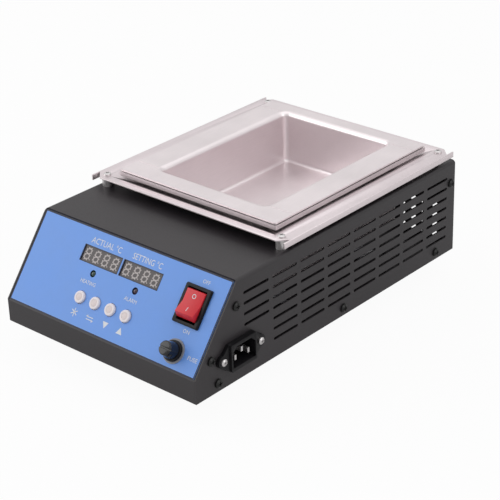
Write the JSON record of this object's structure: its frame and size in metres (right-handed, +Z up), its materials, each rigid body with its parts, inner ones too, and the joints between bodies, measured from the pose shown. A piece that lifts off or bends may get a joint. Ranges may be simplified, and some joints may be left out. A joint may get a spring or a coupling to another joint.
{
  "type": "solder pot",
  "caption": "Bench solder pot: stainless tank and drip tray on a slotted steel casing with a sloped panel of displays, keys, rocker switch, fuse holder and mains inlet.",
  "frame": {"origin": "middle of the outline, on the plane the feet stand on", "axes": "+X to the right seen from the front, +Y to the rear, +Z up; the sloped panel faces -Y and up"},
  "size_m": [0.2052, 0.317, 0.115],
  "materials": {
    "casing_paint": "satin powder coat",
    "panel_blue": "satin printed film",
    "display_grey": "smooth",
    "lamp_green": "clear dyed",
    "lamp_red": "clear dyed",
    "key_white": "satin",
    "black_plastic": "satin",
    "rocker_red": "satin",
    "grey_plastic": "satin",
    "black_rubber": "matt",
    "stainless": "fine brushed",
    "pot_steel": "dull brushed",
    "bright_screw": "bright nickel",
    "black_screw": "black oxide",
    "zinc_steel": "zinc plated",
    "brass_part": "plain",
    "board_green": "solder mask",
    "fuse_glass": "clear",
    "fibre_pad": "fibrous",
    "plate_iron": "machined",
    "sink_aluminium": "extruded",
    "block_green": "satin"
  },
  "bodies": {
    "base": {"cover": "casing_paint", "chassis": "casing_paint", "front_film": "panel_blue", "display_actual": "display_grey", "display_set": "display_grey", "lamp_heating": "lamp_green", "lamp_alarm": "lamp_red", "tact_switches": "black_plastic", "control_board": "board_green", "board_pillars": "brass_part", "board_screws": "zinc_steel", "switch_housing": "black_plastic", "switch_terminals": "brass_part", "fuse_holder": "black_plastic", "fuse_washer": "grey_plastic", "fuse_nut": "black_plastic", "fuse_tube": "fuse_glass", "fuse_ends": "bright_screw", "inlet_body": "black_plastic", "inlet_pins": "bright_screw", "inlet_screws": "bright_screw", "inlet_nuts": "zinc_steel", "side_screws_left": "black_screw", "side_screws_right": "black_screw", "feet": "black_rubber", "foot_screws": "zinc_steel", "foot_nuts": "zinc_steel", "drip_tray": "stainless", "tray_pillars": "bright_screw", "tray_screws": "bright_screw", "pot": "pot_steel", "flange_gasket": "fibre_pad", "heater_jacket": "stainless", "jacket_brackets": "zinc_steel", "jacket_screws": "zinc_steel", "insulation": "fibre_pad", "heater_plate": "plate_iron", "heater_rods": "stainless", "heat_sensor": "stainless", "sensor_clamp": "brass_part", "power_board": "board_green", "power_board_spacers": "grey_plastic", "transformer": "black_plastic", "heat_sink": "sink_aluminium", "triac": "black_plastic", "terminal_block": "block_green"},
    "power_rocker": {"rocker": "rocker_red"},
    "store_key": {"button_store": "key_white"},
    "shift_key": {"button_shift": "key_white"},
    "down_key": {"button_down": "key_white"},
    "up_key": {"button_up": "key_white"},
    "fuse_closure": {"fuse_cap": "black_plastic"}
  },
  "joints": [
    {"name": "rocker_tilt", "type": "hinge", "parent": "base", "child": "power_rocker", "pos_m": [0.0703, -0.12256, 0.07619], "axis": [1, 0, 0], "range_deg": [0, 24]},
    {"name": "store_press", "type": "slide", "parent": "base", "child": "store_key", "axis": [0, 0.7918, -0.6108], "range_m": [0, 0.0009], "stiffness_N_per_m": 400},
    {"name": "shift_press", "type": "slide", "parent": "base", "child": "shift_key", "axis": [0, 0.7918, -0.6108], "range_m": [0, 0.0009], "stiffness_N_per_m": 400},
    {"name": "down_press", "type": "slide", "parent": "base", "child": "down_key", "axis": [0, 0.7918, -0.6108], "range_m": [0, 0.0009], "stiffness_N_per_m": 400},
    {"name": "up_press", "type": "slide", "parent": "base", "child": "up_key", "axis": [0, 0.7918, -0.6108], "range_m": [0, 0.0009], "stiffness_N_per_m": 400},
    {"name": "fuse_cap_turn", "type": "hinge", "parent": "base", "child": "fuse_closure", "pos_m": [0.07, -0.15009, 0.0536], "axis": [0, -0.7918, 0.6108], "range_deg": [0, 90]}
  ]
}
